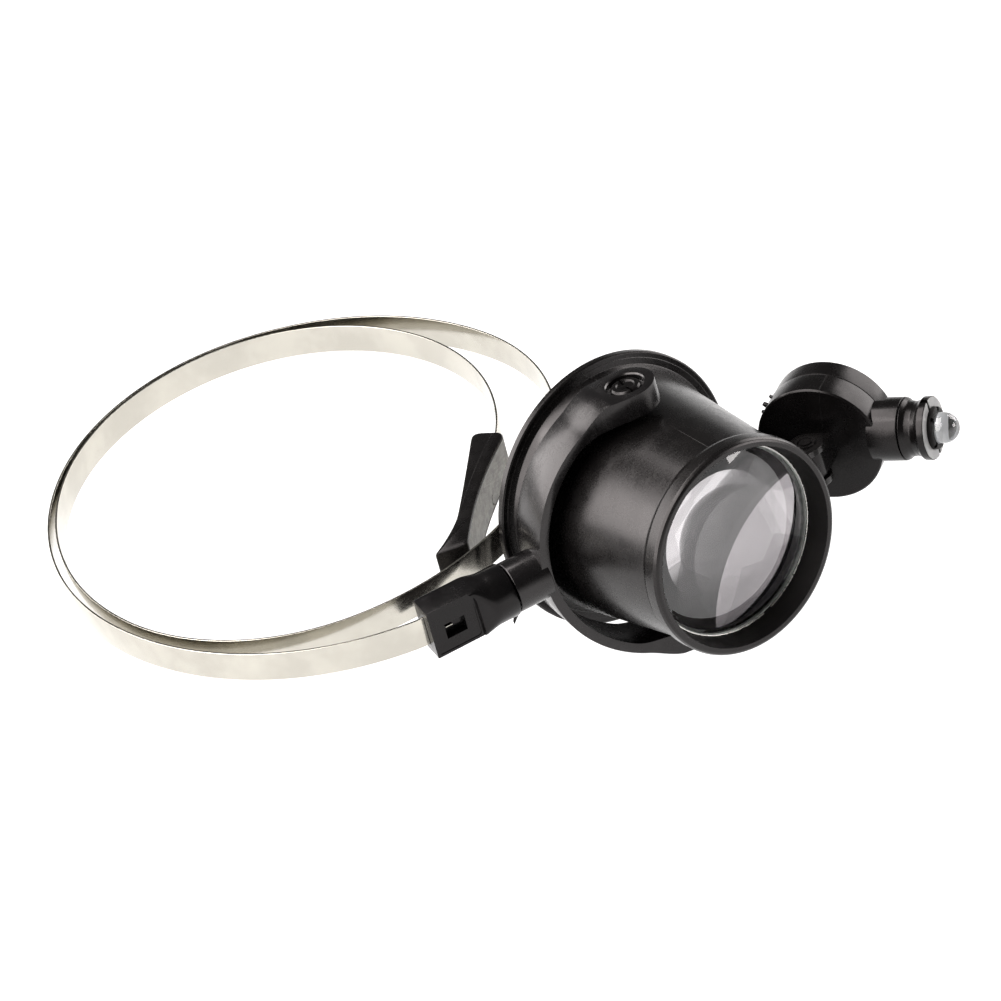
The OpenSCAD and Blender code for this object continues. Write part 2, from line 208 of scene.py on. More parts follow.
def loft(name, loops):
    """Skin through loops with the same number of points, closed at both ends."""
    count = len(loops[0])
    verts = [p for loop in loops for p in loop]
    faces = []
    for k in range(len(loops) - 1):
        for i in range(count):
            j = (i + 1) % count
            faces.append((k * count + i, k * count + j, (k + 1) * count + j, (k + 1) * count + i))
    faces.append(tuple(range(count)))
    last = (len(loops) - 1) * count
    faces.append(tuple(last + i for i in range(count)))
    return tidy_mesh(raw(name, verts, faces))


def inset(outline, amount):
    """Moves a closed counter-clockwise outline inwards."""
    out = []
    for i, point in enumerate(outline):
        before, after = Vector(outline[i - 1]), Vector(outline[(i + 1) % len(outline)])
        along = (after - before).normalized()
        out.append((point[0] - along.y * amount, point[1] + along.x * amount))
    return out


def area_of(outline):
    """Signed area of an outline, above 0 where it runs counter-clockwise."""
    return 0.5 * sum(a[0] * b[1] - b[0] * a[1] for a, b in zip(outline, outline[1:] + outline[:1]))


def slab(name, outline, low, high, edge, steps=3):
    """Extruded outline from z = low to z = high with rounded upper and lower edges."""
    if area_of(outline) < 0:
        outline = outline[::-1]
    if edge <= 0:
        return loft(name, [[(x, y, z) for x, y in outline] for z in (low, high)])
    rounds = []
    for k in range(steps + 1):
        turn = math.pi / 2 * k / steps
        rounds.append((edge * (1 - math.cos(turn)), edge * (1 - math.sin(turn))))
    loops = [[(x, y, low + rise) for x, y in inset(outline, amount)] for rise, amount in rounds]
    loops += [[(x, y, high - rise) for x, y in inset(outline, amount)] for rise, amount in reversed(rounds)]
    return loft(name, loops)


def block(name, low, high, edge=0.0):
    """Box between two corners with rounded edges."""
    outline = [(low[0], low[1]), (high[0], low[1]), (high[0], high[1]), (low[0], high[1])]
    if edge > 0:
        return slab(name, soften(outline, edge, 3), low[2], high[2], edge)
    verts = [(x, y, z) for z in (low[2], high[2]) for x, y in outline]
    faces = [(3, 2, 1, 0), (4, 5, 6, 7), (0, 1, 5, 4), (1, 2, 6, 5), (2, 3, 7, 6), (3, 0, 4, 7)]
    return raw(name, verts, faces)


def rod(name, r, low, high, sides=64, edge=0.0):
    """Cylinder along Z with softened rims."""
    profile = [(0, low, 0), (r, low, edge), (r, high, edge), (0, high, 0)]
    return lathe(name, soften(profile, 0, 3) if edge > 0 else [p[:2] for p in profile], sides)


def turned(obj, matrix):
    """Moves an object's mesh, and turns its faces outwards again."""
    obj.data.transform(matrix)
    return tidy_mesh(obj)


def ridge(path, normals, width, height, sink=0.1):
    """Thin raised line along a path, standing on the surface with the given normals."""
    loops = []
    for i, (point, normal) in enumerate(zip(path, normals)):
        before, after = path[max(i - 1, 0)], path[min(i + 1, len(path) - 1)]
        side = (after - before).cross(normal).normalized() * width / 2
        up = normal.normalized()
        crest = side * 0.35
        corners = (side - up * sink, crest + up * height, -crest + up * height, -side - up * sink)
        loops.append([tuple(point + corner) for corner in corners])
    return loft("ridge", loops)


def piece(obj, name, matrix, body, material, replaced=(), sharp=38):
    """Places a finished mesh, gives it its body and material, and hides the CAD nodes it replaces."""
    obj.name = name
    obj.data.name = name
    obj.data.transform(matrix)
    obj.data.shade_smooth()
    obj.data.set_sharp_from_angle(angle=math.radians(sharp))
    obj.data.materials.clear()
    obj.data.materials.append(material)
    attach(obj, body)
    if replaced:
        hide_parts(*replaced)
    return obj


# ------------------------------------------------------------------ materials
def node(tree, kind, **settings):
    """New shader node. A setting is an input's value or a property."""
    made = tree.nodes.new(kind)
    for key, value in settings.items():
        if key in made.inputs:
            made.inputs[key].default_value = value
        else:
            setattr(made, key, value)
    return made


def start_material(name):
    material = bpy.data.materials.new(name)
    material.use_nodes = True
    tree = material.node_tree
    tree.nodes.clear()
    shader = node(tree, "ShaderNodeBsdfPrincipled")
    output = node(tree, "ShaderNodeOutputMaterial")
    tree.links.new(shader.outputs[0], output.inputs["Surface"])
    return material, tree, shader


def grain(tree, size_mm, detail, stretch=(1, 1, 1)):
    """Noise with features of about size_mm, fixed to the piece."""
    where = node(tree, "ShaderNodeTexCoord")
    spread = node(tree, "ShaderNodeMapping", Scale=tuple(stretch))
    noise = node(tree, "ShaderNodeTexNoise", Scale=1 / (size_mm * MM), Detail=detail, Roughness=0.55)
    tree.links.new(where.outputs["Object"], spread.inputs["Vector"])
    tree.links.new(spread.outputs["Vector"], noise.inputs["Vector"])
    return noise.outputs["Fac"]


def ramp(tree, source, low, high, start=0.3, end=0.7):
    """Maps a noise value to the range low..high."""
    remap = node(tree, "ShaderNodeMapRange", interpolation_type="SMOOTHSTEP")
    remap.inputs["From Min"].default_value = start
    remap.inputs["From Max"].default_value = end
    remap.inputs["To Min"].default_value = low
    remap.inputs["To Max"].default_value = high
    tree.links.new(source, remap.inputs["Value"])
    return remap.outputs["Result"]


def blend_colour(tree, factor, first, second):
    mix = node(tree, "ShaderNodeMix", data_type="RGBA")
    mix.inputs["A"].default_value = (*first, 1)
    mix.inputs["B"].default_value = (*second, 1)
    tree.links.new(factor, mix.inputs["Factor"])
    return mix.outputs["Result"]


def mix_over(tree, factor, below, above):
    """Colour socket below, covered by a plain colour where factor is 1."""
    mix = node(tree, "ShaderNodeMix", data_type="RGBA")
    mix.inputs["B"].default_value = (*above, 1)
    tree.links.new(below, mix.inputs["A"])
    tree.links.new(factor, mix.inputs["Factor"])
    return mix.outputs["Result"]


def add_bump(tree, shader, heights):
    """Chains bumps: each is (height socket, strength, distance in mm)."""
    last = None
    for height, strength, distance in heights:
        bump = node(tree, "ShaderNodeBump", Strength=strength, Distance=distance * MM)
        tree.links.new(height, bump.inputs["Height"])
        if last:
            tree.links.new(last, bump.inputs["Normal"])
        last = bump.outputs["Normal"]
    tree.links.new(last, shader.inputs["Normal"])


def maths(tree, operation, first, second):
    """Sum or product of a socket with another socket or a number."""
    made = node(tree, "ShaderNodeMath", operation=operation)
    tree.links.new(first, made.inputs[0])
    if isinstance(second, float):
        made.inputs[1].default_value = second
    else:
        tree.links.new(second, made.inputs[1])
    return made.outputs[0]


def worn_and_highlit_edges(tree):
    """1 on sharp outward edges, broken up by noise."""
    geometry = node(tree, "ShaderNodeNewGeometry")
    edge = ramp(tree, geometry.outputs["Pointiness"], 0, 1, 0.53, 0.62)
    patchy = ramp(tree, grain(tree, 1.1, 2), 0.15, 1, 0.4, 0.62)
    return maths(tree, "MULTIPLY", edge, patchy)


def plastic(name, dark, light, rough, texture=0.18, texture_mm=0.22, edge_wear_and_highlight=0.35, wave=0.25,
            shine=0.3):
    """Moulded plastic: faint flow clouds, a fine moulding texture, uneven gloss and lighter edges, partly worn and
    partly a painted edge highlight.
    """
    material, tree, shader = start_material(name)
    clouds = ramp(tree, grain(tree, 5.0, 4), 0, 1, 0.35, 0.68)
    colour = blend_colour(tree, clouds, dark, light)
    # lighter edges: partly worn, partly a painted highlight along sharp edges
    rubbed_and_highlit = tuple(min(1.0, 2.2 * c + 0.006) for c in light)
    amount = maths(tree, "MULTIPLY", worn_and_highlit_edges(tree), edge_wear_and_highlight)
    tree.links.new(mix_over(tree, amount, colour, rubbed_and_highlit), shader.inputs["Base Color"])
    patches = ramp(tree, grain(tree, 3.2, 5), rough[0], rough[1], 0.32, 0.7)
    specks = ramp(tree, grain(tree, 0.35, 2), -0.02, 0.035, 0.3, 0.7)
    tree.links.new(maths(tree, "ADD", patches, specks), shader.inputs["Roughness"])
    shader.inputs["IOR"].default_value = 1.5
    shader.inputs["Specular IOR Level"].default_value = shine
    shader.inputs["Specular Tint"].default_value = (1.0, 0.955, 0.95, 1)
    add_bump(tree, shader, [
        (grain(tree, 4.5, 2), wave, 0.05),
        (grain(tree, texture_mm, 3), texture, 0.012),
    ])
    return material


def steel(name, tint, rough, along=(1, 1, 1)):
    """Rolled and polished strip: soft tone patches, long rolling marks and a few scuffs."""
    material, tree, shader = start_material(name)
    shader.inputs["Metallic"].default_value = 1.0
    patches = ramp(tree, grain(tree, 9.0, 3), 0, 1, 0.36, 0.66)
    darker = tuple(c * 0.88 for c in tint)
    tree.links.new(blend_colour(tree, patches, darker, tint), shader.inputs["Base Color"])
    streaks = grain(tree, 0.5, 4, along)
    marks = ramp(tree, streaks, rough[0], rough[1], 0.3, 0.72)
    scuffs = ramp(tree, grain(tree, 6.0, 3), 0, 0.08, 0.4, 0.7)
    tree.links.new(maths(tree, "ADD", marks, scuffs), shader.inputs["Roughness"])
    add_bump(tree, shader, [(streaks, 0.12, 0.01), (grain(tree, 9.0, 1), 0.08, 0.05)])
    return material


def clear(name, tint, ior, painted_facets=0.0):
    """Clear moulded plastic or epoxy with faint flow lines, dust and optional flat-sided grey cells, a painted
    light pattern of the faceted light seen through a lens.
    """
    material, tree, shader = start_material(name)
    shader.inputs["Transmission Weight"].default_value = 1.0
    shader.inputs["IOR"].default_value = ior
    veil = ramp(tree, grain(tree, 1.6, 4), 0, 1, 0.5, 0.75)
    colour = blend_colour(tree, veil, tint, tuple(c * 0.97 for c in tint))
    if painted_facets:
        where = node(tree, "ShaderNodeTexCoord")
        cell_mm = 10.0
        cells = node(tree, "ShaderNodeTexVoronoi", Scale=1 / (cell_mm * MM), Randomness=1.0)
        tree.links.new(where.outputs["Object"], cells.inputs["Vector"])
        split = node(tree, "ShaderNodeSeparateColor")
        tree.links.new(cells.outputs["Color"], split.inputs["Color"])
        # painted light pattern: grey flat-sided cells mixed into the tint stand in for the faceted light seen
        # through the lens
        shade = ramp(tree, split.outputs[0], 0, painted_facets, 0.1, 0.9)
        colour = mix_over(tree, shade, colour, (0.34, 0.325, 0.335))
    tree.links.new(colour, shader.inputs["Base Color"])
    dust = ramp(tree, grain(tree, 0.8, 5), 0, 0.02, 0.55, 0.85)
    tree.links.new(dust, shader.inputs["Roughness"])
    add_bump(tree, shader, [(grain(tree, 2.5, 2), 0.02, 0.03)])
    return material


black = plastic("satin_black", (0.0018, 0.0016, 0.0016), (0.003, 0.0027, 0.0026),
                rough=(0.23, 0.3), texture=0.12)
yoke_black = plastic("yoke_black", (0.002, 0.0018, 0.0019), (0.0032, 0.0029, 0.003),
                     rough=(0.2, 0.28), texture=0.08, wave=0.05, shine=0.4)
socket_black = plastic("socket_black", (0.0018, 0.0017, 0.0018), (0.003, 0.0028, 0.0029),
                       rough=(0.16, 0.26), shine=0.2)
lamp_black = plastic("lamp_black", (0.0016, 0.0014, 0.0014), (0.0026, 0.0023, 0.0023),
                     rough=(0.2, 0.3), shine=0.2)
# the pad's strong edge lightening paints light bevel highlights along its edges
pad_black = plastic("pad_black", (0.0022, 0.002, 0.002), (0.0036, 0.0033, 0.0032),
                    rough=(0.2, 0.32), texture=0.2, edge_wear_and_highlight=0.9, shine=0.2)
inner_black = plastic("matte_black", (0.002, 0.0018, 0.0018), (0.0032, 0.003, 0.0029),
                      rough=(0.5, 0.66), texture=0.2, shine=0.15)
# the light grey colour of the black ribbed grip plate is a painted reflection of the bright surroundings at
# grazing angles
grip_painted_reflection = plastic("grip_painted_reflection", (0.24, 0.24, 0.235), (0.32, 0.32, 0.31),
                    rough=(0.42, 0.6), texture=0.5, texture_mm=0.15)
led_pale = plastic("led_pale", (0.55, 0.56, 0.57), (0.68, 0.69, 0.7), rough=(0.4, 0.55), texture=0.3)
phosphor = plastic("led_phosphor", (0.75, 0.7, 0.35), (0.85, 0.8, 0.45), rough=(0.5, 0.6))
spacer_green = plastic("spacer_green", (0.42, 0.46, 0.43), (0.5, 0.54, 0.51),
                       rough=(0.4, 0.55), texture=0.3)
ring_grey = plastic("ring_grey", (0.18, 0.18, 0.18), (0.26, 0.26, 0.255),
                    rough=(0.3, 0.45), texture=0.25)
band_steel = steel("band_steel", (0.52, 0.50, 0.445), rough=(0.1, 0.2), along=(1, 1, 6))
wire_steel = steel("wire_steel", (0.6, 0.59, 0.56), rough=(0.2, 0.35))
cell_steel = steel("cell_steel", (0.72, 0.72, 0.71), rough=(0.15, 0.3))
contact_metal = steel("contact_metal", (0.72, 0.62, 0.45), rough=(0.2, 0.35))
# the lens tint carries grey cells, a painted light pattern
lens_glass = clear("lens_clear", (0.66, 0.645, 0.655), 1.6, painted_facets=0.85)
epoxy = clear("epoxy_clear", (0.985, 0.99, 1.0), 1.53)
lens_edge = plastic("lens_ground_edge", (0.56, 0.61, 0.57), (0.66, 0.7, 0.67),
                    rough=(0.5, 0.7), texture=0.5)

# ------------------------------------------------------------------ loupe
pin_r = 2.0
counterbore_r = 3.05
counterbore_d = 1.2
ear_r, ear_t, ear_gap = 3.0, 1.2, 4.7
body_rear_r = 19.6
body_front_r = 16.9
bead_len = 3.4
wall = 1.9
rim_t = 1.3
lens_bore_r = lens_r + 0.1
seat_r = lens_r - 1.3
bead_s = barrel_len - bead_len
cone_end_s = bead_s - 0.75
corner_s = 2.2
flare_s = 6.0
flare_rise = 0.8


def barrel_outline():
    """Closed (radius, s) outline of the barrel's wall, from the rear face round to the inside."""
    flare = [(body_rear_r + flare_rise * (1 - k / 6) ** 2, corner_s + (flare_s - corner_s) * k / 6, 0)
             for k in range(7)]
    rim = [(rim_r - 0.15, 0, 0.05), (rim_r, 0.15, 0.05), (rim_r, rim_t - 0.2, 0.1),
           (rim_r - 0.25, rim_t, 0.12), (rim_r - 1.0, rim_t + 0.01, 0.05),
           (rim_r - 1.05, rim_t + 0.07, 0.05), (body_rear_r + 1.2, rim_t + 0.12, 0.2)]
    front = [(body_front_r, cone_end_s, 0.5), (body_front_r + 0.1, bead_s - 0.15, 0.2),
             (bead_r - 0.2, bead_s + 0.05, 0.2), (bead_r, bead_s + 0.7, 0.4),
             (bead_r, barrel_len - 0.7, 0.2), (bead_r - 0.25, barrel_len - 0.2, 0.3),
             (bead_r - 0.65, barrel_len, 0.3), (lens_bore_r + 0.65, barrel_len - 0.02, 0.08)]
    inside = [(lens_bore_r, lens_face_s + 0.5, 0.2), (lens_bore_r, lens_rear_s, 0.05),
              (seat_r, lens_rear_s, 0.15), (seat_r, lens_rear_s - 1.2, 0.15),
              (body_rear_r - wall - 0.6, pivot_s + 2, 1.0), (body_rear_r - wall, 5.2, 2.0),
              (rim_r - wall - 0.5, 0.5, 0.5), (rim_r - wall, 0, 0.2)]
    return soften(rim + flare + front + inside, 0.2, 5)


def cone_r(s):
    """Radius of the barrel's outside between the flare and the bead."""
    return body_rear_r + (body_front_r - body_rear_r) * (s - flare_s) / (cone_end_s - flare_s)


def on_barrel(azimuth, s, r):
    """Point at radius r and distance s from the eye rim, azimuth in degrees."""
    turn = math.radians(azimuth)
    return Vector((r * math.cos(turn), -s, r * math.sin(turn)))


def parting_lines():
    """Mould lines on the cone, above and below, and across the rim's front face."""
    line_start_s = 19.5
    lines = []
    for azimuth in (86.6, 266.6):
        stations = [line_start_s + 0.5 * k for k in range(22)]
        path = [on_barrel(azimuth, s, cone_r(s)) for s in stations]
        lines.append(ridge(path, [on_barrel(azimuth, 0, 1)] * len(path), 0.22, 0.07))
    crossing = [(90.6, rim_r - 0.2, rim_t), (90.4, rim_r - 0.7, rim_t), (89.6, rim_r - 1.2, rim_t + 0.07),
                (88.0, rim_r - 1.9, rim_t + 0.12), (86.4, 20.6, rim_t + 0.35), (85.4, 20.2, 3.0)]
    path = [on_barrel(azimuth, s, r) for azimuth, r, s in crossing]
    lines.append(ridge(path, [Vector((0, -1, 0.25))] * len(path), 0.26, 0.07))
    return lines


def make_barrel():
    barrel = turned(lathe("barrel", barrel_outline(), 200), ALONG_MINUS_Y)
    holes = [turned(rod("hole", pin_r, -5, 5), Matrix.Translation((0, -pivot_s, side * (body_rear_r - 1))))
             for side in (-1, 1)]
    combine(barrel, holes)
    combine(barrel, make_ears() + parting_lines(), "UNION")
    piece(barrel, "barrel", LOUPE, "loupe", black, ["loupe_barrel"])
    # the bore and the eye cup are matte, so that they don't mirror light into the lens
    barrel.data.materials.append(inner_black)
    for face in barrel.data.polygons:
        outward = Vector((face.center.x, 0, face.center.z))
        if outward.length < (rim_r - 1) * MM and face.normal.dot(outward.normalized()) < -0.15:
            face.material_index = 1


def make_ears():
    """Clevis ears for the lamp, each with a raised ring round the hinge pin."""
    x, y = lamp_pos[0] / MM, lamp_pos[1] / MM
    root = 16.4
    outline = [(root, y - 4.6, 0), (x - 1.6, y - ear_r + 0.25, 2.5)]
    for k in range(25):
        turn = math.pi * k / 24
        outline.append((x + ear_r * math.sin(turn), y - ear_r * math.cos(turn), 0))
    outline += [(x - 1.6, y + ear_r - 0.25, 2.5), (root, y + 5.2, 0)]
    shape = soften(outline, 0, 5)
    ears = []
    for side in (-1, 1):
        low = ear_gap / 2 if side > 0 else -ear_gap / 2 - ear_t
        ear = slab("ear", shape, low, low + ear_t, 0.16)
        face = low + ear_t if side > 0 else low
        hub = turned(lathe("hub", [(1.25, -0.4), (1.75, -0.4), (1.7, 0.22), (1.3, 0.22)], 48),
                     Matrix.Translation((x, y, face)) @ Matrix.Diagonal((1, 1, side, 1)))
        combine(ear, [hub], "UNION")
        combine(ear, [turned(rod("bore", 1.0, -5, 5, 32), Matrix.Translation((x, y, 0)))])
        ears.append(ear)
    return ears


def make_pivot_pins():
    """Split snap pins: two half heads with a slot between them, in the lugs' counterbores."""
    head_z = lug_top - counterbore_d + 0.05
    head_r, shank_z = 2.5, 17.5
    for side, name in ((1, "upper_pivot_pin"), (-1, "lower_pivot_pin")):
        profile = [(0, shank_z, 0), (pin_r, shank_z, 0.3), (pin_r, head_z, 0.05), (head_r, head_z, 0.1),
                   (head_r, head_z + 0.62, 0.2), (2.1, head_z + 0.95, 0.25), (1.55, head_z + 0.98, 0.1),
                   (1.35, head_z + 0.72, 0.15), (0, head_z + 0.7, 0)]
        pin = lathe("pin", soften(profile, 0.1, 4), 72)
        slot = block("slot", (-0.2, -4, head_z - 1.6), (0.2, 4, head_z + 3))
        bridge = block("bridge", (-1.5, -0.55, head_z + 0.1), (0.2, 0.55, head_z + 0.78), 0.1)
        combine(pin, [slot])
        combine(pin, [bridge], "UNION")
        if side < 0:
            turned(pin, Matrix.Diagonal((1, 1, -1, 1)))
        piece(pin, name + "_split", YOKE, "loupe", lamp_black, [name], sharp=30)


def cap_height(r, rim, sag):
    """Height of a spherical cap at radius r."""
    big = (rim * rim + sag * sag) / (2 * sag)
    return math.sqrt(max(big * big - r * r, 0)) - (big - sag)


def lens_face(rim, sag, steps=26):
    """Points (radius, height) of a curved or flat lens face, from its middle out to its rim."""
    radii = [rim * k / steps for k in range(steps + 1)]
    return [(r, cap_height(r, rim, sag) if sag else 0) for r in radii]


def make_lens(name, nodes, back_s, edge, front_sag, back_sag):
    """Biconvex or plano-convex lens with a small ground bevel."""
    front_s = back_s + edge
    front_rim = 15.0
    front = [(r, front_s + rise) for r, rise in lens_face(front_rim, front_sag)]
    back = [(r, back_s - rise) for r, rise in lens_face(front_rim - 0.4, back_sag)]
    edge_r = lens_r - 0.16
    bevel = [(lens_r - 0.25, front_s - 0.05), (edge_r, front_s - 0.3), (edge_r, back_s + 0.3),
             (lens_r - 0.3, back_s)]
    lens = lathe(name, front + bevel + back[::-1], 160)
    piece(lens, name, LOUPE_AXIS, "loupe", lens_glass, nodes, sharp=50)


def ring_at(name, inner, outer, low, high, edge):
    """Ring about Z with softened corners."""
    profile = soften([(inner, low), (outer, low), (outer, high), (inner, high)], edge, 3)
    return lathe(name, profile, 160)


def make_lens_rings():
    """Ground edge of the front lens, and the thin split wire that holds it."""
    s = lens_face_s
    edge = ring_at("lens_edge", lens_r - 0.32, lens_r - 0.02, s - 2.45, s - 0.15, 0.02)
    piece(edge, "lens_ground_edge", LOUPE_AXIS, "loupe", lens_edge)
    ring = turned(ring_at("ring", lens_r - 0.14, lens_bore_r - 0.02, s + 0.02, s + 0.24, 0.08),
                  ALONG_MINUS_Y)
    combine(ring, [block("gap", (2.2, -s - 2, -17), (3.8, -s + 2, -14))])
    piece(ring, "lens_ring", LOUPE, "loupe", wire_steel, ["lens_retaining_ring"])


def make_loupe():
    make_barrel()
    make_pivot_pins()
    make_lens("front_lens_clear", ["front_lens"], lens_face_s - 2.6, 2.6, 2.6, 2.4)
    make_lens("rear_lens_clear", ["rear_lens"], lens_rear_s, 2.2, 2.2, 0)
    make_lens_rings()


# ------------------------------------------------------------------ yoke
strap_in_r = 21.8
strap_t = 1.6
strap_front = 3.5
strap_rear = 4.7
lug_r = 4.75
lug_base = body_rear_r + 0.35
stub_r = 4.25
stub_end = 28.3
journal_r = 2.5
journal_len = 5.1
journal_end = stub_end + journal_len


def smooth_step(t):
    """Eases from 0 to 1 as t does, and holds outside."""
    t = min(1.0, max(0.0, t))
    return t * t * (3 - 2 * t)


def strap_side():
    """Side outline of the yoke in XZ: a half ring on the -X side with a flat lug at each end."""
    outer, inner = [], []
    lug_turn = math.degrees(math.asin(lug_r / lug_top))
    for k in range(91):
        turn = 90 - k                       # 90 is straight up, -90 straight down
        from_lug = 90 - abs(turn)
        if from_lug < lug_turn:
            out = lug_top / math.cos(math.radians(from_lug))
        else:
            edge = lug_top / math.cos(math.radians(lug_turn))
            outer_r = strap_in_r + strap_t
            out = outer_r + (edge - outer_r) * (1 - smooth_step((from_lug - lug_turn) / 15))
        thick = smooth_step((34 - from_lug) / 26)
        flat_r = lug_base / math.cos(math.radians(min(from_lug, 10)))
        low = strap_in_r - thick * (strap_in_r - flat_r)
        direction = (-math.cos(math.radians(turn)), math.sin(math.radians(turn)))
        outer.append((direction[0] * out, direction[1] * out))
        inner.append((direction[0] * low, direction[1] * low))
    for k in range(91, 181):
        x, z = outer[180 - k]
        outer.append((x, -z))
        x, z = inner[180 - k]
        inner.append((x, -z))
    reach = lug_r + 0.5
    lower_end = [(reach, -lug_top), (reach, -lug_base)]
    return [(reach, lug_top)] + outer + lower_end + inner[::-1] + [(reach, lug_base)]


def strap_plan():
    """Plan of the yoke in XY: a straight edge at the rear, and one that spreads to the lug in front."""
    far_x = -26
    turns = [math.radians(-98 + 196 * k / 48) for k in range(49)]
    lug = [(lug_r * math.cos(a), lug_r * math.sin(a)) for a in turns]
    spread = -lug[0][1] - strap_front
    flank = [(lug[0][0] - k, -strap_front - spread * (1 - smooth_step(k / 8))) for k in range(1, 10)]
    return [(far_x, -strap_front)] + flank[::-1] + lug + [(far_x, strap_rear)]


def make_yoke():
    side = turned(slab("yoke", strap_side(), -8, 8, 0), ALONG_MINUS_Y)
    combine(side, [slab("plan", strap_plan(), -30, 30, 0)], "INTERSECT")
    modified(side, "BEVEL", width=0.42, segments=3, limit_method="ANGLE", angle_limit=math.radians(42),
             use_clamp_overlap=True)
    tidy_mesh(side)
    seat_z = lug_top - counterbore_d
    mouth_r = counterbore_r + 0.22
    cuts = []
    for mirror in (1, -1):
        bore = [(0, 15, 0), (pin_r + 0.05, 15, 0), (pin_r + 0.05, seat_z, 0.05),
                (counterbore_r, seat_z, 0.1), (counterbore_r, lug_top - 0.22, 0.05),
                (mouth_r, lug_top + 0.02, 0.05), (mouth_r, lug_top + 2, 0), (0, lug_top + 2, 0)]
        cuts.append(turned(lathe("bore", soften(bore, 0, 3), 96), Matrix.Diagonal((1, 1, mirror, 1))))
    combine(side, cuts)
    root = strap_in_r + 0.4
    snap_r = journal_r + 0.35
    snap_end = journal_end - 0.3
    stub = [(0, root, 0), (stub_r, root, 0.1), (stub_r, stub_end, 0.22), (journal_r, stub_end, 0.1),
            (journal_r, journal_end - 1.5, 0.05), (snap_r, journal_end - 1.4, 0.1), (snap_r, snap_end, 0.3),
            (0, snap_end, 0)]
    arm = turned(lathe("stub", soften(stub, 0, 5), 96), ALONG_MINUS_X)
    combine(side, [arm], "UNION")
    piece(side, "yoke_strap", YOKE, "yoke", yoke_black, ["yoke"], sharp=32)


# ------------------------------------------------------------------ headband
socket_end = 43.2
turn_r = [48.2, 44.6, 40.4, 47.2, 34.6, 48.2, 37.8, 43.6, 38, 37.6, 34.6]
arc_step = 60
band_t = 0.35
mouth_bend = 9.9
mouth_r = 12
socket_h = 4.6
socket_t = 2.1
socket_r = 4.5


def band_route():
    """Centre line of the band in its own plane: (x, y, heading in degrees), from the socket to the pad."""
    x, y, way = -socket_end + 6.0, 0.0, 180.0
    points = [(x, y, way), (-socket_end, 0.0, 180.0)]
    x = -socket_end
    pieces = [(mouth_r, mouth_bend)] + [(r, arc_step) for r in turn_r]
    for r, sweep in pieces:
        steps = max(4, int(sweep / 2))
        for _ in range(steps):
            chord = 2 * r * math.sin(math.radians(sweep / steps / 2))
            middle = math.radians(way - sweep / steps / 2)
            x += chord * math.cos(middle)
            y += chord * math.sin(middle)
            way -= sweep / steps
            points.append((x, y, way))
    points.append((x + 1.6 * math.cos(math.radians(way)), y + 1.6 * math.sin(math.radians(way)), way))
    return points


def strip_section(width, thick, edge):
    """Section of the steel strip, as (across, up) points."""
    x, y = thick / 2, width / 2
    return soften([(-x, -y), (x, -y), (x, y), (-x, y)], edge, 3)


def make_band():
    section = strip_section(band_w, band_t, 0.05)
    loops = []
    for x, y, way in band_route():
        side = Vector((-math.sin(math.radians(way)), math.cos(math.radians(way)), 0))
        loops.append([tuple(Vector((x, y, z)) + side * d) for d, z in section])
    band = loft("band", loops)
    foot = [(-40.6, 0.32), (-40.6, 0.14), (-39.3, 0.14), (-39.3, 0.32)]
    tab = turned(slab("tab", soften(foot, 0.08, 2), 0, 1.75, 0.05), ALONG_MINUS_Y)
    combine(band, [tab], "UNION")
    piece(band, "band", BAND, "headband", band_steel, ["steel_band"])


def socket_section(x, half_t, half_h, flat, shrink=0.0):
    """Section across the socket: round where flat is 0, a soft rectangle where it is 1."""
    points = []
    count = 96
    power = 2 / 16
    for k in range(count):
        angle = 2 * math.pi * k / count
        c, s = math.cos(angle), math.sin(angle)
        box_y = math.copysign(abs(c) ** power, c) * (half_t - shrink)
        box_z = math.copysign(abs(s) ** power, s) * (half_h - shrink)
        disc_y, disc_z = (socket_r - shrink) * c, (socket_r - shrink) * s
        points.append((x, disc_y + (box_y - disc_y) * flat, disc_z + (box_z - disc_z) * flat))
    return points


def make_socket():
    start = -stub_end - 0.3
    loops = []
    round_len, morph_len = 3.2, 3.6
    body_t = socket_t + 0.6
    for x, shrink in ((start, 0.2), (start - 0.06, 0.08), (start - 0.2, 0.0)):
        loops.append(socket_section(x, body_t, socket_h, 0, shrink))
    for k in range(25):
        t = k / 24
        loops.append(socket_section(start - round_len - morph_len * t, body_t, socket_h, smooth_step(t)))
    for x, shrink in ((-socket_end + 0.2, 0.0), (-socket_end + 0.05, 0.07), (-socket_end, 0.2)):
        loops.append(socket_section(x, body_t, socket_h, 1, shrink))
    body = loft("socket", loops)
    bore_r, groove_r = journal_r + 0.05, journal_r + 0.65
    groove = journal_end - 1.8
    profile = [(0, stub_end - 1, 0), (bore_r, stub_end - 1, 0), (bore_r, groove, 0.05),
               (groove_r, groove, 0.05), (groove_r, journal_end, 0.05), (0, journal_end, 0)]
    bore = turned(lathe("bore", soften(profile, 0, 2), 64), ALONG_MINUS_X)
    mouth = block("mouth", (-socket_end - 1, -0.43, -2.85), (-socket_end + 6.4, 0.43, 2.85))
    combine(body, flat_tools())
    window = block("window", (-40.8, -4, -1.9), (-37.2, -0.75, 1.0))
    combine(body, [mouth, window, bore])
    combine(body, [make_burr()], "UNION")
    piece(body, "socket", BAND, "headband", socket_black, ["band_socket"], sharp=30)


